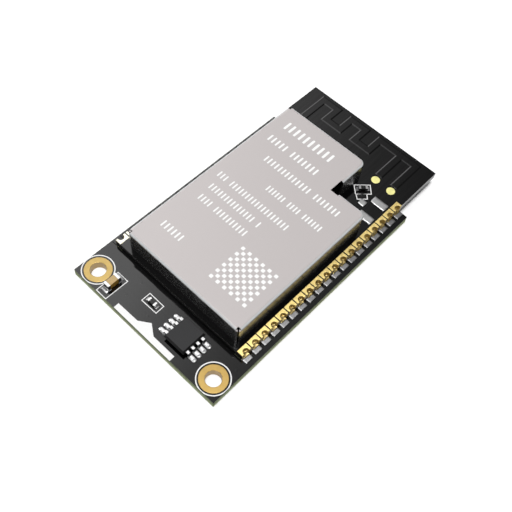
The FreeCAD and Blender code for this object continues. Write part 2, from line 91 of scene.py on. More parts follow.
# %% Node helpers
class Bench:
    """A node tree at work: each call adds one node and gives back the node or its result."""

    def __init__(self, tree):
        self.tree = tree

    def join(self, source, target):
        """Join an output to an input."""
        self.tree.links.new(source, target)

    def add(self, kind, inputs=None, **settings):
        """A new node, with its settings made and its inputs joined or typed in."""
        node = self.tree.nodes.new(kind)
        for key, value in settings.items():
            setattr(node, key, value)
        for key, value in (inputs or {}).items():
            if isinstance(value, bpy.types.NodeSocket):
                self.join(value, node.inputs[key])
            else:
                node.inputs[key].default_value = value
        return node

    def math(self, operation, a, b=0.0, c=0.0):
        """One step of arithmetic."""
        return self.add("ShaderNodeMath", {0: a, 1: b, 2: c}, operation=operation).outputs[0]

    def measure(self, operation, a, b=(0.0, 0.0, 0.0)):
        """A number from vectors: the LENGTH of one, or the DOT_PRODUCT of two."""
        return self.add("ShaderNodeVectorMath", {0: a, 1: b}, operation=operation).outputs["Value"]

    def scaled(self, colour, amount):
        """A colour times a number."""
        inputs = {0: colour, "Scale": amount}
        return self.add("ShaderNodeVectorMath", inputs, operation="SCALE").outputs[0]

    def spread(self, value, low, high, to_low=0.0, to_high=1.0, smooth=True):
        """Carry the range low to high over to to_low to to_high, with soft ends."""
        inputs = {"Value": value, "From Min": low, "From Max": high, "To Min": to_low, "To Max": to_high}
        curve = "SMOOTHSTEP" if smooth else "LINEAR"
        return self.add("ShaderNodeMapRange", inputs, interpolation_type=curve).outputs[0]

    def blend(self, mask, a, b):
        """Colour a where the mask is 0, colour b where it is 1."""
        return self.add("ShaderNodeMix", {0: mask, 6: a, 7: b}, data_type="RGBA").outputs[2]

    def between(self, mask, a, b):
        """Number a where the mask is 0, number b where it is 1."""
        return self.add("ShaderNodeMix", {0: mask, 2: a, 3: b}, data_type="FLOAT").outputs[0]

    def noise(self, vector, scale, detail, roughness=0.5):
        """Cloudy noise from 0 to 1, finer with more detail."""
        inputs = {"Vector": vector, "Scale": scale, "Detail": detail, "Roughness": roughness}
        return self.add("ShaderNodeTexNoise", inputs).outputs[0]

    def cloth(self, a, b, step):
        """Two crossed waves, like woven threads: sin(2 pi a / step) sin(2 pi b / step)."""
        waves = [self.math("SINE", self.math("MULTIPLY", c, 2 * math.pi / step)) for c in (a, b)]
        return self.math("MULTIPLY", *waves)

    def parts(self, vector):
        """The x, y and z of a vector."""
        return self.add("ShaderNodeSeparateXYZ", {0: vector}).outputs

    def place(self):
        """Where a point lies in its object's space, in metres."""
        return self.add("ShaderNodeTexCoord").outputs["Object"]

    def upward(self):
        """How far a face looks up in its object's space: 1 up, 0 upright, -1 down."""
        return self.parts(self.add("ShaderNodeTexCoord").outputs["Normal"])[2]

    def effect(self, group, **values):
        """The outputs of a shared group; Rough_Low=0.3 types 0.3 into its input Rough Low."""
        inputs = {label.replace("_", " "): value for label, value in values.items()}
        return self.add("ShaderNodeGroup", inputs, node_tree=group).outputs


print("bench ready")


# %% Groups and materials
def rgb(red, green, blue):
    """A colour for a socket, which wants an alpha too."""
    return (red, green, blue, 1.0)


def grey(level):
    """A neutral colour."""
    return (level, level, level)


def new_group(name, inputs, outputs):
    """An empty shader group with named sockets; a default that is a tuple makes a colour socket."""
    tree = bpy.data.node_groups.new(name, "ShaderNodeTree")
    for label, default in inputs:
        kind = "NodeSocketColor" if isinstance(default, tuple) else "NodeSocketFloat"
        tree.interface.new_socket(name=label, in_out="INPUT", socket_type=kind).default_value = default
    for label, kind in outputs:
        tree.interface.new_socket(name=label, in_out="OUTPUT", socket_type="NodeSocket" + kind)
    bench = Bench(tree)
    return tree, bench, bench.add("NodeGroupInput").outputs, bench.add("NodeGroupOutput").inputs


def new_finish(name, **sockets):
    """A material whose Principled shader has its plain numbers typed into its own sockets."""
    material = bpy.data.materials.new(name)
    material.use_nodes = True
    shader = material.node_tree.nodes["Principled BSDF"]
    for label, value in sockets.items():
        shader.inputs[label.replace("_", " ")].default_value = value
    return material, Bench(material.node_tree), shader.inputs


print("group and material helpers ready")

# %% [markdown]
# ## Floor, lamps and sky
#
# The picture is a studio shot on white. A soft lamp right overhead lights every upward face,
# and a weaker one above the camera lifts the sides that the camera sees. The glossy boards
# fade from grey at the left to black at the right, which is the mirror image of one big
# window, low at the left and behind. The sky carries it: its light grows as e to the power
# of how far a direction leans to the window, up to a cap, and is held back on the camera's
# side, because the can's front wall shows only black there.
#
# The floor is plain white, and the parts get a little less light from it than the camera
# does. So it looks as white as in the photograph and still takes a faint shadow. Further
# off it turns into even white light for the camera, so no horizon shows from any side.

# %% Floor
FLOOR_SIDE = 3.0
WHITE_SEEN, WHITE_SENT = rgb(0.97, 0.97, 0.97), rgb(0.8, 0.8, 0.8)
FADE_FROM, FADE_TO = 0.06, 0.30
bpy.ops.mesh.primitive_plane_add(size=FLOOR_SIDE, location=(0, 0, 0))
floor = bpy.context.object
floor.name = "floor"
floor_finish, bench, _ = new_finish("studio_floor")
far_off = bench.spread(bench.measure("LENGTH", bench.place()), FADE_FROM, FADE_TO)
nearby = bench.add("ShaderNodeBsdfDiffuse", {"Color": WHITE_SEEN}).outputs[0]
even_light = bench.add("ShaderNodeEmission").outputs[0]
to_camera = bench.add("ShaderNodeMixShader", {0: far_off, 1: nearby, 2: even_light}).outputs[0]
to_others = bench.add("ShaderNodeBsdfDiffuse", {"Color": WHITE_SENT}).outputs[0]
seen = bench.add("ShaderNodeLightPath").outputs["Is Camera Ray"]
either = bench.add("ShaderNodeMixShader", {0: seen, 1: to_others, 2: to_camera}).outputs[0]
bench.join(either, floor_finish.node_tree.nodes["Material Output"].inputs["Surface"])
floor.data.materials.append(floor_finish)
print("floor", FLOOR_SIDE, "m wide")

# %% Lamps
LAMP_AWAY = 0.5


def soft_lamp(name, turn, rise, side, energy):
    """A square lamp half a metre away, aimed at the part; its place follows from two angles."""
    turn, rise = math.radians(turn), math.radians(rise)
    data = bpy.data.lights.new(name, "AREA")
    data.shape = "SQUARE"
    data.size = side
    data.energy = energy
    lamp = bpy.data.objects.new(name, data)
    towards = (math.cos(rise) * math.cos(turn), math.cos(rise) * math.sin(turn), math.sin(rise))
    lamp.location = tuple(LAMP_AWAY * c for c in towards)
    lamp.rotation_euler = (math.pi / 2 - rise, 0, turn + math.pi / 2)
    bpy.context.scene.collection.objects.link(lamp)
    print(name, "at", [round(c, 3) for c in lamp.location])


soft_lamp("overhead_lamp", turn=-54, rise=85, side=0.15, energy=2.48)
soft_lamp("front_lamp", turn=-54, rise=30, side=0.30, energy=0.09)

# %% Sky
WINDOW = (-0.9, -0.1, 0.42)
GROWTH, START, CAP = 8.3, -5.67, 1.2
CAMERA_SIDE, FAR_SIDE, HELD = -0.34, 0.05, 0.03
LEAST_LIGHT = 0.035
sky = bpy.data.worlds.new("studio")
sky.use_nodes = True
bpy.context.scene.world = sky
bench = Bench(sky.node_tree)
direction = bench.add("ShaderNodeTexCoord").outputs["Generated"]
windowward = bench.measure("DOT_PRODUCT", direction, WINDOW)
glow = bench.math("EXPONENT", bench.math("MULTIPLY_ADD", windowward, GROWTH, START))
glow = bench.math("MINIMUM", glow, CAP)
held_back = bench.spread(bench.parts(direction)[1], CAMERA_SIDE, FAR_SIDE, HELD, 1.0)
sky_light = bench.math("MAXIMUM", bench.math("MULTIPLY", glow, held_back), LEAST_LIGHT)
seen = bench.add("ShaderNodeLightPath").outputs["Is Camera Ray"]
background = sky.node_tree.nodes["Background"].inputs
background["Color"].default_value = rgb(1.0, 1.0, 1.0)
bench.join(bench.between(seen, sky_light, 1.0), background["Strength"])
print("sky ready, white to the camera and at most", CAP, "to the parts")

# %% [markdown]
# ## Effects that several finishes share
#
# Real surfaces are never even. Cast resin, plated metal and fired ceramic all have a fine
# grain, at different sizes. One group makes it from noise in the object's own coordinates,
# so it stays on the piece from every side, and each finish sets its own grain size. Nearly
# all of the noise lies between two values, and these carry the roughness from low to high.

# %% Grain
NOISE_LOW, NOISE_HIGH = 0.3, 0.7
grain_group, bench, given, result = new_group(
    "fine_grain",
    [("Color", rgb(0.5, 0.5, 0.5)), ("Color Spread", 0.2), ("Grains per Metre", 8000.0),
     ("Rough Low", 0.3), ("Rough High", 0.5)],
    [("Color", "Color"), ("Roughness", "Float"), ("Height", "Float")])
noise = bench.noise(bench.place(), given["Grains per Metre"], detail=3.0, roughness=0.6)
swing = bench.math("MULTIPLY", bench.math("SUBTRACT", noise, 0.5), given["Color Spread"])
bench.join(bench.scaled(given["Color"], bench.math("MULTIPLY_ADD", swing, 2.0, 1.0)), result["Color"])
rough = bench.spread(noise, NOISE_LOW, NOISE_HIGH, given["Rough Low"], given["Rough High"], smooth=False)
bench.join(rough, result["Roughness"])
bench.join(noise, result["Height"])
print("group", grain_group.name)

# %% [markdown]
# Stamped and plated edges are slightly round, and that round catches the lamp as a thin
# bright line. Rounding every edge in CAD would cost thousands of faces. The Bevel node
# bends the shading instead, and how far it bends gives a mask that is 1 at an edge: the
# bent and the flat direction agree fully on a face, and less the nearer an edge is.

# %% Soft edges
ON_FACE, ON_EDGE = 0.99, 0.80
edge_group, bench, given, result = new_group(
    "soft_edge", [("Radius", 3e-5)], [("Normal", "Vector"), ("Edge", "Float")])
rounded = bench.add("ShaderNodeBevel", {"Radius": given["Radius"]}, samples=4).outputs[0]
flat = bench.add("ShaderNodeNewGeometry").outputs["Normal"]
bench.join(rounded, result["Normal"])
bench.join(bench.spread(bench.measure("DOT_PRODUCT", rounded, flat), ON_FACE, ON_EDGE), result["Edge"])
print("group", edge_group.name)

# %% [markdown]
# Where a board is cut, its glass cloth and resin show. On the carrier that is a dark olive
# skin under the mask over a paler core with rows of tiny fibre ends. The group tells a face
# from a cut side by its normal, and puts out the colour of the cut side and the mask of the
# faces. The share is 0 at the board's bottom and 1 at its top, and the skin starts at a
# height that wavers with the cloth.

# %% Cut laminate
FIBRE_STEP, FIBRE_WEIGHT, SPECKS = 0.11 * MM, 0.25, 9000.0
SKIN_WAVER, SKIN_FROM, SKIN_TO = 0.16, 0.50, 0.72
DARKEST, PALEST = 0.65, 1.35
CUT_SIDE, BOARD_FACE = 0.4, 0.6
laminate_group, bench, given, result = new_group(
    "cut_laminate",
    [("Top Height", 0.001), ("Bottom Height", 0.0),
     ("Skin", rgb(0.08, 0.1, 0.03)), ("Core", rgb(0.25, 0.3, 0.16))],
    [("Color", "Color"), ("Face", "Float"), ("Height", "Float")])
x, y, z = bench.parts(bench.place())
fibres = bench.cloth(bench.math("ADD", x, y), z, FIBRE_STEP)
texture = bench.math("MULTIPLY_ADD", fibres, FIBRE_WEIGHT, bench.noise(bench.place(), SPECKS, detail=2.0))
share = bench.spread(z, given["Bottom Height"], given["Top Height"], smooth=False)
skin_band = bench.spread(bench.math("MULTIPLY_ADD", texture, SKIN_WAVER, share), SKIN_FROM, SKIN_TO)
cut = bench.blend(skin_band, given["Core"], given["Skin"])
cut = bench.scaled(cut, bench.spread(texture, 0.25, 0.8, DARKEST, PALEST, smooth=False))
bench.join(cut, result["Color"])
bench.join(bench.spread(bench.math("ABSOLUTE", bench.upward()), CUT_SIDE, BOARD_FACE), result["Face"])
bench.join(texture, result["Height"])
print("group", laminate_group.name)

# %% [markdown]
# ## Finishes
#
# Solder mask is a thin black lacquer. It lies over the glass cloth, so its gloss carries a
# faint weave and long shallow streaks. Its own colour is nearly black, and what the eye
# reads as grey is the mirror image of the sky. The carrier's cut side is pale and dull, the
# thin module board's is dark and smooth, painted lighter at the top and near black below it:
# painted shade towards the carrier.

# %% Solder mask over laminate
WEAVE_STEP, MASK_GRAINS, STREAK_TURN = 0.45 * MM, 14000.0, 0.06
WEAVE_RELIEF, GRAIN_RELIEF, STREAK_RELIEF, MASK_BUMP = 0.25, 0.12, 12.0, 2e-6
GLOSS_SWING, INK_DARK, INK_LIGHT = 0.04, 0.75, 1.3
STREAKS_ALONG_X, STREAKS_ALONG_Y = (200.0, 2200.0, 200.0), (2200.0, 200.0, 200.0)


def board_finish(name, bottom, top, roughness, ink, skin, core, cut_roughness, streaks):
    """Glossy black mask on the faces, cut laminate on the sides, split by the face mask."""
    material, bench, shader = new_finish(name, Specular_IOR_Level=1.0)
    laminate = bench.effect(laminate_group, Top_Height=top * MM, Bottom_Height=bottom * MM,
                            Skin=rgb(*skin), Core=rgb(*core))
    turned = {"Vector": bench.place(), "Scale": streaks, "Rotation": (0.0, 0.0, STREAK_TURN)}
    stretched = bench.add("ShaderNodeMapping", turned, vector_type="POINT").outputs[0]
    streak = bench.noise(stretched, 1.0, detail=3.0)
    grain = bench.noise(bench.place(), MASK_GRAINS, detail=2.0)
    x, y, _ = bench.parts(bench.place())
    weave = bench.cloth(x, y, WEAVE_STEP)
    lacquer = bench.blend(streak, rgb(*[c * INK_DARK for c in ink]), rgb(*[c * INK_LIGHT for c in ink]))
    bench.join(bench.blend(laminate["Face"], laminate["Color"], lacquer), shader["Base Color"])
    swing = bench.math("ADD", streak, grain)
    gloss = bench.math("MULTIPLY_ADD", swing, GLOSS_SWING, roughness - GLOSS_SWING)
    bench.join(bench.between(laminate["Face"], cut_roughness, gloss), shader["Roughness"])
    relief = bench.math("MULTIPLY_ADD", weave, WEAVE_RELIEF, bench.math("MULTIPLY", grain, GRAIN_RELIEF))
    relief = bench.math("MULTIPLY_ADD", streak, STREAK_RELIEF, relief)
    height = bench.between(laminate["Face"], laminate["Height"], relief)
    bump = bench.add("ShaderNodeBump", {"Strength": 0.3, "Distance": MASK_BUMP, "Height": height})
    bench.join(bump.outputs[0], shader["Normal"])
    return material


CARRIER_TOP, LAND_TOP, MODULE_BOTTOM, MODULE_TOP, CAN_TOP = 1.00, 1.05, 1.05, 1.85, 4.35
finishes = {
    "carrier_mask": board_finish(
        "carrier_mask", 0.0, CARRIER_TOP, 0.06, (0.0008, 0.0008, 0.0009),
        (0.12, 0.15, 0.05), (0.30, 0.355, 0.155), 0.75, STREAKS_ALONG_X),
    # On the module's cut side the pale upper band over near black is painted shade, darker towards the
    # carrier.
    "module_mask": board_finish(
        "module_mask", MODULE_BOTTOM, MODULE_TOP, 0.08, (0.0010, 0.0010, 0.0011),
        grey(0.06), grey(0.003), 0.25, STREAKS_ALONG_Y),
}
finishes["track_mask"] = finishes["module_mask"]
print("boards finished:", *finishes)

# %% [markdown]
# Metals, resin, ceramic, glaze and ink are all made the same way: a grained colour, edges
# that are bent round in shading, and a fine bump. Metals also get another colour where the
# edge mask says so: a painted highlight along the edges, and on the hole rings a painted shade.
# In the photograph most parts are darker on their upright sides than on top, so a finish may
# have a darker colour there: painted shade on the upright faces.

# %% A grained finish with soft edges
UPRIGHT, LYING = 0.3, 0.6


def grained_finish(name, colour, spread, grains, rough, edge_radius, bump, side=None,
                   painted_edge_light=None, **sockets):
    """Grain, soft edges and, where they are given, a painted highlight on edges and painted shade on
    upright faces.
    """
    material, bench, shader = new_finish(name, **sockets)
    grain = bench.effect(grain_group, Color=rgb(*colour), Color_Spread=spread, Grains_per_Metre=grains,
                         Rough_Low=rough[0], Rough_High=rough[1])
    edge = bench.effect(edge_group, Radius=edge_radius)
    coat = grain["Color"]
    # Painted highlight: another colour along the edges, mostly lighter; on the hole rings it is darker, a
    # painted shade.
    if painted_edge_light:
        coat = bench.blend(edge["Edge"], coat, rgb(*painted_edge_light))
    # Painted shade: another colour, mostly darker, on faces that stand upright.
    if side:
        lying = bench.spread(bench.math("ABSOLUTE", bench.upward()), UPRIGHT, LYING)
        coat = bench.blend(lying, rgb(*side), coat)
    bench.join(coat, shader["Base Color"])
    bench.join(grain["Roughness"], shader["Roughness"])
    relief = bench.add("ShaderNodeBump", {
        "Strength": 0.5, "Distance": bump, "Height": grain["Height"], "Normal": edge["Normal"]})
    bench.join(relief.outputs[0], shader["Normal"])
    return material


print("grained finish ready")

# %% [markdown]
# The metals differ in colour and polish more than in kind. The gold of the right contacts is
# deep and cloudy. The left ones, which the window lights, get a pale copy of it: painted light.
# The pads at the antenna's feet are lemon gold. The right hole ring gets a browner copy of the
# left one's gold, painted shade where the light falls off. The solder in the half-holes is
# painted brassy, a painted reflection of the gold wall beside it. Plain solder is one metal,
# painted in three brightnesses for how the light falls on it (painted light and shade), from
# the grey blocks at the module's edge to the bright pillows at the chip's feet. The
# plated leads and end caps are the brightest.

# %% Plated metals
# Painted shade for the upright faces of the golds, darker than their tops; the browner right ring's top is
# the one exception.
DEEP_SHADED_SIDE, PAD_SHADED_SIDE, RING_PAINTED_SIDE = (0.62, 0.47, 0.19), (0.5, 0.40, 0.18), (0.42, 0.30, 0.15)
METALS = {
    # colour, its spread, grains per metre, roughness, painted edge light, edge radius, painted shade on
    # upright faces
    "contact_gold": ((0.85, 0.67, 0.265), 0.34, 4200.0, (0.44, 0.54), (0.95, 0.90, 0.46), 5e-5, DEEP_SHADED_SIDE),
    # Painted light: a paler copy of contact gold for the left row, which the window lights.
    "pale_gold": ((0.98, 0.95, 0.80), 0.10, 2600.0, (0.40, 0.50), (0.98, 0.96, 0.80), 4e-5, DEEP_SHADED_SIDE),
    "pad_gold": ((0.98, 0.94, 0.41), 0.08, 2600.0, (0.48, 0.56), (0.98, 0.96, 0.50), 3e-5, PAD_SHADED_SIDE),
    # Painted reflection: the gold wall beside the solder in the half-holes, painted into its colour.
    "brassy_solder": ((0.56, 0.43, 0.18), 0.15, 3000.0, (0.26, 0.36), (0.7, 0.56, 0.26), 3e-5, None),
    "gold_plating": ((0.56, 0.40, 0.148), 0.12, 2200.0, (0.33, 0.39), (0.22, 0.14, 0.05), 8e-5, RING_PAINTED_SIDE),
    # Painted shade: a browner copy of the ring gold for the right ring, where the light falls off.
    "deep_gold": ((0.34, 0.23, 0.075), 0.12, 2200.0, (0.38, 0.44), (0.18, 0.11, 0.03), 8e-5, RING_PAINTED_SIDE),
    # Painted shade: plain solder painted dark grey for the blocks at the module's edge.
    "solder_tin": ((0.28, 0.28, 0.285), 0.12, 3000.0, (0.40, 0.46), (0.50, 0.50, 0.51), 4e-5, grey(0.17)),
    # Painted light: the same plain solder painted paler for the socket lands.
    "dull_tin": (grey(0.62), 0.12, 3000.0, (0.35, 0.41), grey(0.75), 3e-5, grey(0.30)),
    "lead_tin": (grey(0.88), 0.10, 5000.0, (0.24, 0.32), grey(0.95), 3e-5, grey(0.10)),
    "end_cap_tin": ((0.90, 0.90, 0.89), 0.10, 5000.0, (0.26, 0.34), (0.95, 0.95, 0.94), 5e-5, grey(0.10)),
    # Painted light: the same plain solder painted brightest for the chip's feet and the small parts' ends.
    "bright_tin": (grey(0.74), 0.10, 3000.0, (0.32, 0.40), grey(0.85), 3e-5, grey(0.20)),
}
METAL_BUMP = 2e-6
for name, (colour, spread, grains, rough, painted_edge_light, edge_radius, side) in METALS.items():
    finishes[name] = grained_finish(name, colour, spread, grains, rough, edge_radius, METAL_BUMP, side,
                                    painted_edge_light, Metallic=1.0)
print("metals finished:", *METALS)

# %% [markdown]
# The can is tin-plated sheet. Its top has a fine even grain and a warm tone. The bent edge
# is painted pale, a painted highlight along the fold, and the walls are a half-polished grey
# painted darker, a painted shade. All three are told apart by how far a
# face looks up. The walls are metal to the shader, and so they mirror the dark front of the
# studio. The top and the fold are hardly so, because the photograph shows them evenly pale.

# %% Shield can
# The fold's pale colour is a painted highlight and the walls' dark grey is painted shade; the sheet colour
# is the top's own.
SHEET, FOLD_HIGHLIGHT, WALL_SHADE = (0.507, 0.472, 0.468), (0.58, 0.595, 0.60), grey(0.27)
FOLD_ROUGH, WALL_ROUGH, FOLD_METAL, WALL_METAL = 0.35, 0.26, 0.12, 0.95
FOLD_STARTS, FOLD_IS_FULL, TOP_STARTS, TOP_IS_FULL = 0.40, 0.65, 0.90, 0.97


def can_finish(name):
    """Sheet where a face looks up, painted highlight on the fold where it slants, painted shade on the wall
    where it stands upright.
    """
    material, bench, shader = new_finish(name)
    grain = bench.effect(grain_group, Color=rgb(*SHEET), Color_Spread=0.06, Grains_per_Metre=11000.0,
                         Rough_Low=0.20, Rough_High=0.26)
    edge = bench.effect(edge_group, Radius=3e-5)
    up = bench.upward()
    top, bend = bench.spread(up, TOP_STARTS, TOP_IS_FULL), bench.spread(up, FOLD_STARTS, FOLD_IS_FULL)
    folded = bench.blend(bend, rgb(*WALL_SHADE), rgb(*FOLD_HIGHLIGHT))
    bench.join(bench.blend(top, folded, grain["Color"]), shader["Base Color"])
    folded_rough = bench.spread(bend, 0.0, 1.0, WALL_ROUGH, FOLD_ROUGH)
    bench.join(bench.between(top, folded_rough, grain["Roughness"]), shader["Roughness"])
    bench.join(bench.spread(bend, 0.0, 1.0, WALL_METAL, FOLD_METAL), shader["Metallic"])
    relief = bench.add("ShaderNodeBump", {
        "Strength": 0.4, "Distance": 2e-6, "Height": bench.math("MULTIPLY", grain["Height"], top),
        "Normal": edge["Normal"]})
    bench.join(relief.outputs[0], shader["Normal"])
    return material


finishes["can_metal"] = can_finish("can_metal")
print("can finished")

# %% [markdown]
# Chip resin is matt black with silica grains, the capacitor is fired brown ceramic, the
# resistor wears a black glaze, and the hidden coils and crystal are plain fired ceramic.
# White ink is matt and very even. All are dull solids, each with its own grain and sheen.

# %% Resin, ceramic, glaze and ink
# Painted shade: the capacitor's upright sides are painted darker and browner than its top, and the chip
# resin's near black.
BROWN_SHADED_SIDE = (0.42, 0.22, 0.02)
DULL = {
    # colour, its spread, grains per metre, roughness, edge radius, bump, painted shade on upright faces,
    # sheen
    "chip_resin": ((0.034, 0.034, 0.035), 0.35, 14000.0, (0.55, 0.70), 4e-5, 4e-6, grey(0.008), 0.12),
    "capacitor_ceramic": ((0.47, 0.335, 0.16), 0.30, 9000.0, (0.45, 0.60), 4e-5, 4e-6, BROWN_SHADED_SIDE, 0.2),
    "resistor_glaze": (grey(0.012), 0.25, 6000.0, (0.25, 0.35), 4e-5, 4e-6, None, 0.5),
    "coil_ceramic": ((0.05, 0.055, 0.07), 0.25, 9000.0, (0.5, 0.6), 4e-5, 4e-6, None, 0.5),
    "crystal_ceramic": ((0.10, 0.085, 0.06), 0.25, 9000.0, (0.5, 0.6), 4e-5, 4e-6, None, 0.5),
    "white_ink": ((0.80, 0.80, 0.795), 0.06, 12000.0, (0.50, 0.65), 1e-5, 2e-6, None, 0.15),
}
for name, (*recipe, sheen) in DULL.items():
    finishes[name] = grained_finish(name, *recipe, Specular_IOR_Level=sheen)
print("dull solids finished:", *DULL)

# %% Put each finish on its nodes
SPECIAL = {
    # The left contacts get painted light, and the right hole ring painted shade.
    "edge_contacts_left": "pale_gold", "antenna_foot_pads": "pad_gold", "hole_plating_right": "deep_gold"}
slot_of = {row["node"]: row["material_slot"] for row in frame["record"]["subparts"]}
for name, piece in nodes.items():
    piece.data.materials.clear()
    piece.data.materials.append(finishes[SPECIAL.get(name, slot_of[name])])
print("finishes placed on", len(nodes), "nodes")

# %% [markdown]
# ## Helpers for new pieces
#
# Every new piece is a thin closed shell: a curved top over a flat underside, with a wall
# round the rim. The top is a grid of points worked out at once with numpy. Several shells
# are joined into one mesh when they are one kind of thing, such as the solder of one row.
# From here on, all places and sizes are in millimetres.

# %% Shells from grids
def quads(grid):
    """The four-sided faces between neighbours of a grid of point numbers."""
    return np.stack([grid[:-1, :-1], grid[1:, :-1], grid[1:, 1:], grid[:-1, 1:]], -1).reshape(-1, 4)


def shell_faces(rows, columns):
    """Faces between a top grid and the same grid underneath: top, turned underside, rim wall.

    Rows run to the right of columns seen from above, which makes the top face upwards.
    """
    top = np.arange(rows * columns).reshape(rows, columns)
    under = top + rows * columns
    rim = np.concatenate([top[0, :-1], top[:-1, -1], top[-1, :0:-1], top[:0:-1, 0]])
    after = np.roll(rim, -1)
    wall = np.stack([rim, after, after + rows * columns, rim + rows * columns], -1)
    return np.concatenate([quads(top), quads(under)[:, ::-1], wall])


def make_piece(name, shells, finish, smooth=True):
    """One mesh from a list of (x, y, top z, bottom z) grids; it rides on the body."""
    points, faces, start = [], [], 0
    for x, y, z_top, z_bottom in shells:
        for z in (z_top, np.broadcast_to(z_bottom, x.shape)):
            points.append(np.stack([x, y, z], -1).reshape(-1, 3))
        faces.append(shell_faces(*x.shape) + start)
        start += 2 * x.size
    points = np.concatenate(points) * MM
    faces = np.concatenate(faces)
    mesh = bpy.data.meshes.new(name)
    mesh.from_pydata(points.tolist(), [], faces.tolist())
    mesh.polygons.foreach_set("use_smooth", np.full(len(faces), smooth))
    mesh.materials.append(finishes[finish])
    piece = bpy.data.objects.new(name, mesh)
    bpy.context.scene.collection.objects.link(piece)
    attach(piece, "root")
    print(name, len(shells), "shells,", len(faces), "faces")


print("shell helpers ready")

# %% Pillows
RIM = 0.004


def even_steps(count):
    """Parameters from -1 to 1 that crowd towards both ends: the sine of evenly spaced angles."""
    return np.sin(np.linspace(-math.pi / 2, math.pi / 2, count))


def cushion(cx, cy, half_x, half_y, round_off, z_low, rise, steps=(9, 9), power=4.0):
    """A pillow over a rounded rectangle.

    x is half_x u sqrt(1 - k v^2 / 2) and y is half_y v sqrt(1 - k u^2 / 2), which rounds the
    corners more as k goes from 0 to 1. The height is a thin rim, and on it rise times the
    square roots of 1 - |u|^power and 1 - |v|^power, flat in the middle and steep at the rim.
    """
    u, v = np.meshgrid(even_steps(steps[0]), even_steps(steps[1]), indexing="ij")
    x = cx + half_x * u * np.sqrt(1 - round_off * v**2 / 2)
    y = cy + half_y * v * np.sqrt(1 - round_off * u**2 / 2)
    swell = np.sqrt(np.clip(1 - np.abs(u) ** power, 0, 1) * np.clip(1 - np.abs(v) ** power, 0, 1))
    return x, y, z_low + RIM + rise * swell, z_low


print("pillows ready, rim", RIM, "mm thick")

# %% [markdown]
# ## Solder at the module's edge
#
# On the real board, solder melts on each land and is drawn up into the half-hole of the
# contact above it. It ends as a flat silver tongue on the land and a hollow curve that
# stands against the gold wall. Each is a height above the land, worked out over a patch
# whose inner side follows the half-hole.

# %% Contact rows
CONTACT_COUNT, CONTACT_STEP, FIRST_CONTACT = 19, 1.3235, -12.625
HOLE_RADIUS, HOLE_INSET = 0.355, 0.08
LAND_SHIFT, LAND_HALF = -0.155, 0.50
MODULE_RIGHT, MODULE_LEFT, MODULE_FRONT = 8.81, -9.21, -13.225
contact_y = FIRST_CONTACT + CONTACT_STEP * np.arange(CONTACT_COUNT)


def into_hole(off):
    """How far a half-hole reaches in from the module's edge: sqrt(r^2 - off^2) plus its inset."""
    inside = np.clip(HOLE_RADIUS**2 - off**2, 0, None)
    return np.where(inside > 0, HOLE_INSET + np.sqrt(inside), 0.0)


print("contacts from y", contact_y[0], "to", round(contact_y[-1], 3))

# %% Edge solder
LAND_REACH, THIN, BLOCK_HEIGHT, BLOCK_POWER = 0.60, 0.006, 0.06, 12
CLIMB, CLIMB_REACH, CLIMB_START = 0.015, 0.3, 0.05
HOLLOW_REACH, HOLLOW_LOW, HOLLOW_RISE = 0.14, 0.075, 0.18


def edge_solder(centre_y):
    """A block of solder on one land, outside the module.

    Across the land, y = centre + half width times v, and t goes from the module's edge (0)
    to the end of the land (1). On a thin coat the height is B sqrt(1 - |2t - 1|^12) times
    sqrt(1 - v^12), and beside the hole a slope C (1 - t / reach)^2 is added where the solder
    climbs the wall.
    """
    t, v = np.meshgrid((1 - np.cos(np.linspace(0, math.pi, 11))) / 2, even_steps(19), indexing="ij")
    y = centre_y + LAND_SHIFT + LAND_HALF * v
    rim = np.sqrt(np.clip(1 - v**BLOCK_POWER, 0, 1))
    block = BLOCK_HEIGHT * rim * np.sqrt(np.clip(1 - np.abs(2 * t - 1) ** BLOCK_POWER, 0, 1))
    beside = np.clip((np.abs(y - centre_y) - HOLE_RADIUS) / CLIMB_START, 0, 1)
    slope = CLIMB * beside * rim * np.clip(1 - t / CLIMB_REACH, 0, 1) ** 2
    return MODULE_RIGHT + t * LAND_REACH, y, LAND_TOP + THIN + block + slope, CARRIER_TOP


def hole_solder(centre_y):
    """The hollow in one half-hole: height = low + rise d^2, d from the open side (0) to the wall (1)."""
    d, v = np.meshgrid(np.linspace(1, 0, 6), np.linspace(-0.995, 0.995, 11), indexing="ij")
    off = HOLE_RADIUS * v
    x = MODULE_RIGHT + HOLLOW_REACH - d * (into_hole(off) + HOLLOW_REACH + 0.004)
    return x, centre_y + off, LAND_TOP + HOLLOW_LOW + HOLLOW_RISE * d**2, LAND_TOP


make_piece("edge_solder", [edge_solder(c) for c in contact_y], "solder_tin")
# The brassy colour of the hollows is a painted reflection of the gold wall.
make_piece("hole_solder", [hole_solder(c) for c in contact_y], "brassy_solder")

# %% [markdown]
# On the left the photograph shows no metal outside the gold contacts: the strip of board
# there is black, and so is the floor of every half-hole. The lacquer is drawn over the ends
# of the lands. It is one thin film, a height over the strip, that steps up over each land
# with soft sides, and whose inner side follows the half-holes.

# %% Mask over the left lands
FILM = 0.012
STRIP_EDGE, STRIP_BACK = -9.90, 11.60
LAND_SIDE, SIDE_FOOT = 0.50, 0.57
END_FOOT, LAND_END = -9.86, -9.77


def soft_step(value, low, high):
    """3 s^2 - 2 s^3, where s goes from 0 at low to 1 at high."""
    s = np.clip((value - low) / (high - low), 0, 1)
    return s * s * (3 - 2 * s)


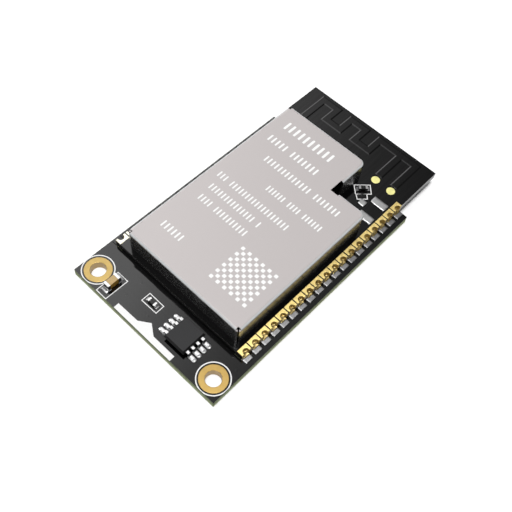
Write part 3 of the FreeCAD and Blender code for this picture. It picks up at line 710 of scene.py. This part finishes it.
def left_strip():
    """Height = board + film + land thickness times a soft step beside each land and one at its end."""
    along = np.linspace(-1, 1, 41) * CONTACT_STEP / 2
    y = np.unique(np.round((contact_y[:, None] + along[:-1]).ravel(), 5))
    y = y[y < STRIP_BACK]
    off = (y - FIRST_CONTACT + CONTACT_STEP / 2) % CONTACT_STEP - CONTACT_STEP / 2
    u, inner = np.meshgrid(np.linspace(0, 1, 10), MODULE_LEFT + into_hole(off), indexing="ij")
    y = np.broadcast_to(y, u.shape)
    x = STRIP_EDGE + (inner - STRIP_EDGE) * u
    over_land = 1 - soft_step(np.abs(off - LAND_SHIFT), LAND_SIDE, SIDE_FOOT)
    z = CARRIER_TOP + (LAND_TOP - CARRIER_TOP) * over_land * soft_step(x, END_FOOT, LAND_END)
    return x, y, z + FILM, z


make_piece("left_strip_mask", [left_strip()], "carrier_mask")

# %% [markdown]
# The first land of each row reaches a hair's breadth out in front of the module. The lacquer
# covers that too: a low narrow cushion lies over each of the two ends.

# %% Mask over the first lands
TIP_X, TIP_Y, TIP_HALF_X, TIP_HALF_Y, TIP_RISE = (8.36, -8.76), MODULE_FRONT - 0.02, 0.485, 0.05, 0.062
make_piece("first_land_mask", [
    cushion(cx, TIP_Y, TIP_HALF_X, TIP_HALF_Y, 0.0, CARRIER_TOP, TIP_RISE, power=12) for cx in TIP_X],
    "carrier_mask")

# %% [markdown]
# ## Solder at the small parts
#
# A chip part stands in a hollow slope of solder at each end. The slope is a height again:
# highest at the metal end, nothing at the rim of the land. A chip's feet sit in low oval
# pillows, the rounded shell from above. Where a foot ends, solder wets its tip and then
# dips, and that dip shows as a dark line across the pillow: a narrow groove.

# %% Solder slopes
NARROWING, SIDE_POWER = 0.12, 5


def end_fillet(base, outward, half_width, length, climb):
    """A hollow slope: height = climb (1 - s)^2, where s goes from the part (0) to the land's rim (1).

    It is (1 - N s^3) times as wide there, and its sides fall off as sqrt(1 - |v|^5).
    """
    s, v = np.meshgrid(np.linspace(0, 1, 8), even_steps(9), indexing="ij")
    across = (-outward[1], outward[0])
    narrowed = half_width * v * (1 - NARROWING * s**3)
    x = base[0] + outward[0] * length * s + across[0] * narrowed
    y = base[1] + outward[1] * length * s + across[1] * narrowed
    side = np.sqrt(np.clip(1 - np.abs(v) ** SIDE_POWER, 0, 1))
    return x, y, LAND_TOP + RIM + climb * (1 - s) ** 2 * side, LAND_TOP


FRONT, BACK, LEFT, RIGHT = (0.0, -1.0), (0.0, 1.0), (-1.0, 0.0), (1.0, 0.0)
make_piece("capacitor_solder", [
    end_fillet((-5.97, -17.325), FRONT, 0.41, 0.40, 0.16),
    end_fillet((-5.97, -15.725), BACK, 0.41, 0.40, 0.16)], "bright_tin")
make_piece("resistor_solder", [
    end_fillet((-2.10, -15.175), LEFT, 0.27, 0.26, 0.22),
    end_fillet((-1.10, -15.175), RIGHT, 0.27, 0.26, 0.22)], "bright_tin")

# %% Solder pillows
CHIP_X, CHIP_Y, LEAD_STEP = 3.33, -15.505, 0.655
LAND_AWAY, FOOT_REACH = 2.025, 2.275
GROOVE_GAP, GROOVE_WIDTH, GROOVE_DEPTH = 0.045, 0.04, 0.95
lead_rows = CHIP_Y + LEAD_STEP * (np.arange(4) - 1.5)


def lead_pillow(side, cy):
    """A pillow whose height is times 1 - G exp(-(d / w)^2), where d is the way from the groove's middle."""
    x, y, z, low = cushion(CHIP_X + LAND_AWAY * side, cy, 0.485, 0.24, 0.9, LAND_TOP, 0.06, steps=(41, 9))
    past = side * (x - CHIP_X) - FOOT_REACH - GROOVE_GAP
    groove = GROOVE_DEPTH * np.exp(-((past / GROOVE_WIDTH) ** 2))
    return x, y, low + RIM + (z - low - RIM) * (1 - groove), low


make_piece("chip_solder", [lead_pillow(side, y) for side in (-1, 1) for y in lead_rows],
           "bright_tin")

SOCKET_Y, SOCKET_TOP = 8.935, MODULE_TOP + 0.05
make_piece("socket_solder", [
    cushion(6.96, SOCKET_Y + dy, 0.92, 0.47, 0.12, SOCKET_TOP, 0.03, steps=(13, 9), power=8)
    for dy in (-1.22, 1.22)] + [
    cushion(5.55, SOCKET_Y, 0.39, 0.39, 0.12, SOCKET_TOP, 0.03, power=8)], "dull_tin")

# %% [markdown]
# ## Printed ink
#
# Silkscreen is a layer of white ink about a hundredth of a millimetre thick. Outlines of
# parts, rings round the holes and a white field at the front edge are printed on the
# boards. Each is a flat strip with a small thickness: a path with a line width, or a
# ring whose outer side stops where the board ends.

# %% Strips and rings of ink
INK = 0.012


def mitred(points):
    """A closed path and its mitres: the sum of both unit normals over one plus their dot product."""
    ring = np.array(points + points[:1], float)
    run = np.diff(ring, axis=0)
    run /= np.linalg.norm(run, axis=1, keepdims=True)
    normal = np.stack([-run[:, 1], run[:, 0]], -1)
    before = np.concatenate([normal[-1:], normal])
    behind = np.concatenate([normal, normal[:1]])
    return ring, (before + behind) / (1 + (before * behind).sum(1, keepdims=True))


def ink_line(points, width, z_low):
    """A closed strip of even width along straight runs: at each corner its two sides meet on the mitre."""
    ring, mitre = mitred(points)
    inner, outer = ring + mitre * width / 2, ring - mitre * width / 2
    x, y = np.stack([inner[:, 0], outer[:, 0]]), np.stack([inner[:, 1], outer[:, 1]])
    return x, y, np.full(x.shape, z_low + INK), z_low


def until(gap, way):
    """How far a ray gets to an edge: the gap over the ray's share towards it, endless if it turns away."""
    return np.abs(gap) / np.maximum(np.where(way * np.sign(gap) > 0, np.abs(way), 0), 1e-6)


def ink_ring(cx, cy, inner, outer, x_limit, y_limit):
    """A ring cut back to the board: its outer radius is the least of itself and the way to each edge."""
    angle = np.linspace(0, 2 * math.pi, 97)
    cos, sin = np.cos(angle), np.sin(angle)
    reach = np.minimum(np.minimum(outer, until(x_limit - cx, cos)), until(y_limit - cy, sin))
    radius = np.stack([np.full(angle.shape, inner), np.maximum(reach, inner + 0.02)])
    x, y = cx + radius * cos, cy + radius * sin
    return x, y, np.full(x.shape, CARRIER_TOP + INK), CARRIER_TOP


print("ink", INK, "mm thick")

# %% Rings, field and outlines
HOLE_X, HOLE_Y = 8.23, -16.485
INK_RIGHT, INK_FRONT = 9.91, -18.165
make_piece("hole_print", [
    ink_ring(side * HOLE_X, HOLE_Y, 1.612, 1.730, side * INK_RIGHT, INK_FRONT) for side in (-1, 1)],
    "white_ink", smooth=False)

field_x = np.array([-3.93, -1.22, -0.05, 1.11, 4.04])
field_top = np.array([-17.535, -17.495, -16.70, -17.525, -17.535])
field_low = np.full(5, -18.160)
make_piece("front_field_print", [(
    np.stack([field_x, field_x], 1), np.stack([field_low, field_top], 1),
    np.full((5, 2), CARRIER_TOP + INK), CARRIER_TOP)], "white_ink", smooth=False)

make_piece("part_outline_print", [
    ink_line([(-2.60, -14.605), (-0.57, -14.635), (-0.55, -15.675), (-2.59, -15.705)], 0.09, CARRIER_TOP),
    ink_line([(-6.57, -18.12), (-6.60, -15.28), (-5.15, -15.28), (-5.18, -18.12)], 0.09, CARRIER_TOP)],
    "white_ink", smooth=False)

make_piece("tuning_print", [
    ink_line([(3.38, 10.145), (4.65, 11.435), (5.52, 10.555), (4.28, 9.315)], 0.10, MODULE_TOP),
    ink_line([(4.34, 9.315), (5.15, 10.225), (5.63, 9.715), (4.85, 8.905)], 0.10, MODULE_TOP)],
    "white_ink", smooth=False)

# %% [markdown]
# The top of a shield can is where such a module is marked. Here the marks are plain rows of
# short strokes and a plain chequered square, which give the can the weight of print without
# saying anything. They are almost without thickness, as etched marks are.

# %% Plain marks on the can
MARK, MARK_SUNK, MARK_ROUND = 0.002, 0.001, 0.35
MARK_ROWS = [
    # left end, y, pitch, strokes in each group, half width, half height
    (-6.1, 9.25, 0.70, [10], 0.15, 0.62),
    (-6.3, 6.65, 0.55, [5, 7], 0.115, 0.48),
    (-4.6, 4.20, 0.50, [13, 7], 0.10, 0.44),
    (-1.8, 1.45, 0.42, [6, 4, 6], 0.09, 0.40),
    (-6.6, -0.90, 0.45, [3, 18], 0.09, 0.42),
    (-6.1, -2.66, 0.45, [14, 1], 0.09, 0.42),
    (-5.9, -4.40, 0.45, [4, 10], 0.09, 0.42),
    (-6.1, -9.35, 0.50, [6], 0.10, 0.44),
]
CHECK_X, CHECK_Y, CHECK_STEP, CHECKS, CHECK_HALF = 1.30, -10.45, 0.445, 11, 0.2


def stroke(cx, cy, half_x, half_y):
    """One flat upright mark with rounded ends, from the rounded rectangle of the cushion."""
    x, y, _, low = cushion(cx, cy, half_x, half_y, MARK_ROUND, CAN_TOP - MARK_SUNK, 0.0, steps=(3, 5))
    return x, y, np.full(x.shape, CAN_TOP + MARK), low


def stroke_row(x_start, y, pitch, groups, half_x, half_y):
    """Evenly spaced strokes, with one place left free between groups."""
    places = np.concatenate([np.arange(count) + sum(groups[:i]) + i for i, count in enumerate(groups)])
    return [stroke(x_start + pitch * p, y, half_x, half_y) for p in places]


marks = [mark for row in MARK_ROWS for mark in stroke_row(*row)]
row, column = np.divmod(np.arange(CHECKS**2), CHECKS)
filled = (row + column) % 2 == 0
marks += [stroke(CHECK_X + (c + 0.5) * CHECK_STEP, CHECK_Y + (r + 0.5) * CHECK_STEP, CHECK_HALF, CHECK_HALF)
          for r, c in zip(row[filled], column[filled])]
make_piece("can_marks", marks, "white_ink", smooth=False)

# %% [markdown]
# ## Lacquer over the antenna's edge
#
# The antenna is copper under the mask, and at its edge the lacquer runs down to the board in
# a slope. The slopes that look to the window shine as thin pale lines and the others are
# black, which is all that shows of the antenna. A narrow skirt goes round the track: from
# the edge out, its height falls evenly to nothing.

# %% Antenna skirt
TRACK_TOP, SKIRT, SKIRT_LAP, SKIRT_FILM = 1.90, 0.12, 0.01, 0.002
TRACK_HALF, BACK_EDGE, LOW_EDGE, BAR = 0.35, 17.625, 14.805, 0.7
OPEN_END, FOOT_END = 12.575, 13.195
legs = np.append(-7.09 + 2.13 * np.arange(5), (4.51, 6.64))


def folded_outline():
    """The track's outline in one run round, from the open leg up, to the right and back."""
    left, right = legs - TRACK_HALF, legs + TRACK_HALF
    inner_back, inner_low = BACK_EDGE - BAR, LOW_EDGE + BAR
    out = [(left[0], OPEN_END), (left[0], BACK_EDGE)]
    for a, b in ((1, 2), (3, 4)):
        out += [(right[a], BACK_EDGE), (right[a], inner_low), (left[b], inner_low), (left[b], BACK_EDGE)]
    out += [(right[6], BACK_EDGE), (right[6], FOOT_END), (left[6], FOOT_END), (left[6], inner_back)]
    out += [(right[5], inner_back), (right[5], FOOT_END), (left[5], FOOT_END), (left[5], inner_back)]
    for a, b in ((4, 3), (2, 1)):
        out += [(right[a], inner_back), (right[a], LOW_EDGE), (left[b], LOW_EDGE), (left[b], inner_back)]
    return out + [(right[0], inner_back), (right[0], OPEN_END)]


def skirt(points):
    """A sloped strip outside a clockwise outline; its two rims are mitred as the ink lines are."""
    ring, mitre = mitred(points)
    inner, outer = ring - mitre * SKIRT_LAP, ring + mitre * SKIRT
    x, y = np.stack([outer[:, 0], inner[:, 0]]), np.stack([outer[:, 1], inner[:, 1]])
    z_top = np.broadcast_to(np.array([[MODULE_TOP + SKIRT_FILM], [TRACK_TOP + SKIRT_FILM]]), x.shape)
    return x, y, z_top, MODULE_TOP


make_piece("antenna_skirt", [skirt(folded_outline())], "module_mask", smooth=False)

# %% [markdown]
# ## Covered vias
#
# Small holes that join the copper layers lie under the mask. The lacquer sinks a little in
# the middle and stands up as a low ring round it.

# %% Via mounds
VIA_REACH, VIA_RING, VIA_SOFT, VIA_RISE, VIA_FILM = 0.16, 0.07, 0.04, 0.003, 0.002
VIA_PLACES = [
    (-7.52, -14.43), (-4.10, -14.39), (-4.20, -16.34), (-0.92, -16.42), (-8.11, -12.16), (4.10, -17.39),
    (9.18, -14.40)]


def via_mound(cx, cy):
    """A disc of height h exp(-((r - r0) / w)^2), on the squeezed grid that turns a square into a disc."""
    u, v = np.meshgrid(even_steps(15), even_steps(15), indexing="ij")
    x, y = VIA_REACH * u * np.sqrt(1 - v**2 / 2), VIA_REACH * v * np.sqrt(1 - u**2 / 2)
    r = np.hypot(x, y)
    ring = VIA_RISE * np.exp(-((r - VIA_RING) / VIA_SOFT) ** 2) * np.clip((VIA_REACH - r) / VIA_SOFT, 0, 1)
    return cx + x, cy + y, CARRIER_TOP + VIA_FILM + ring, CARRIER_TOP


make_piece("via_mounds", [via_mound(*place) for place in VIA_PLACES], "carrier_mask")
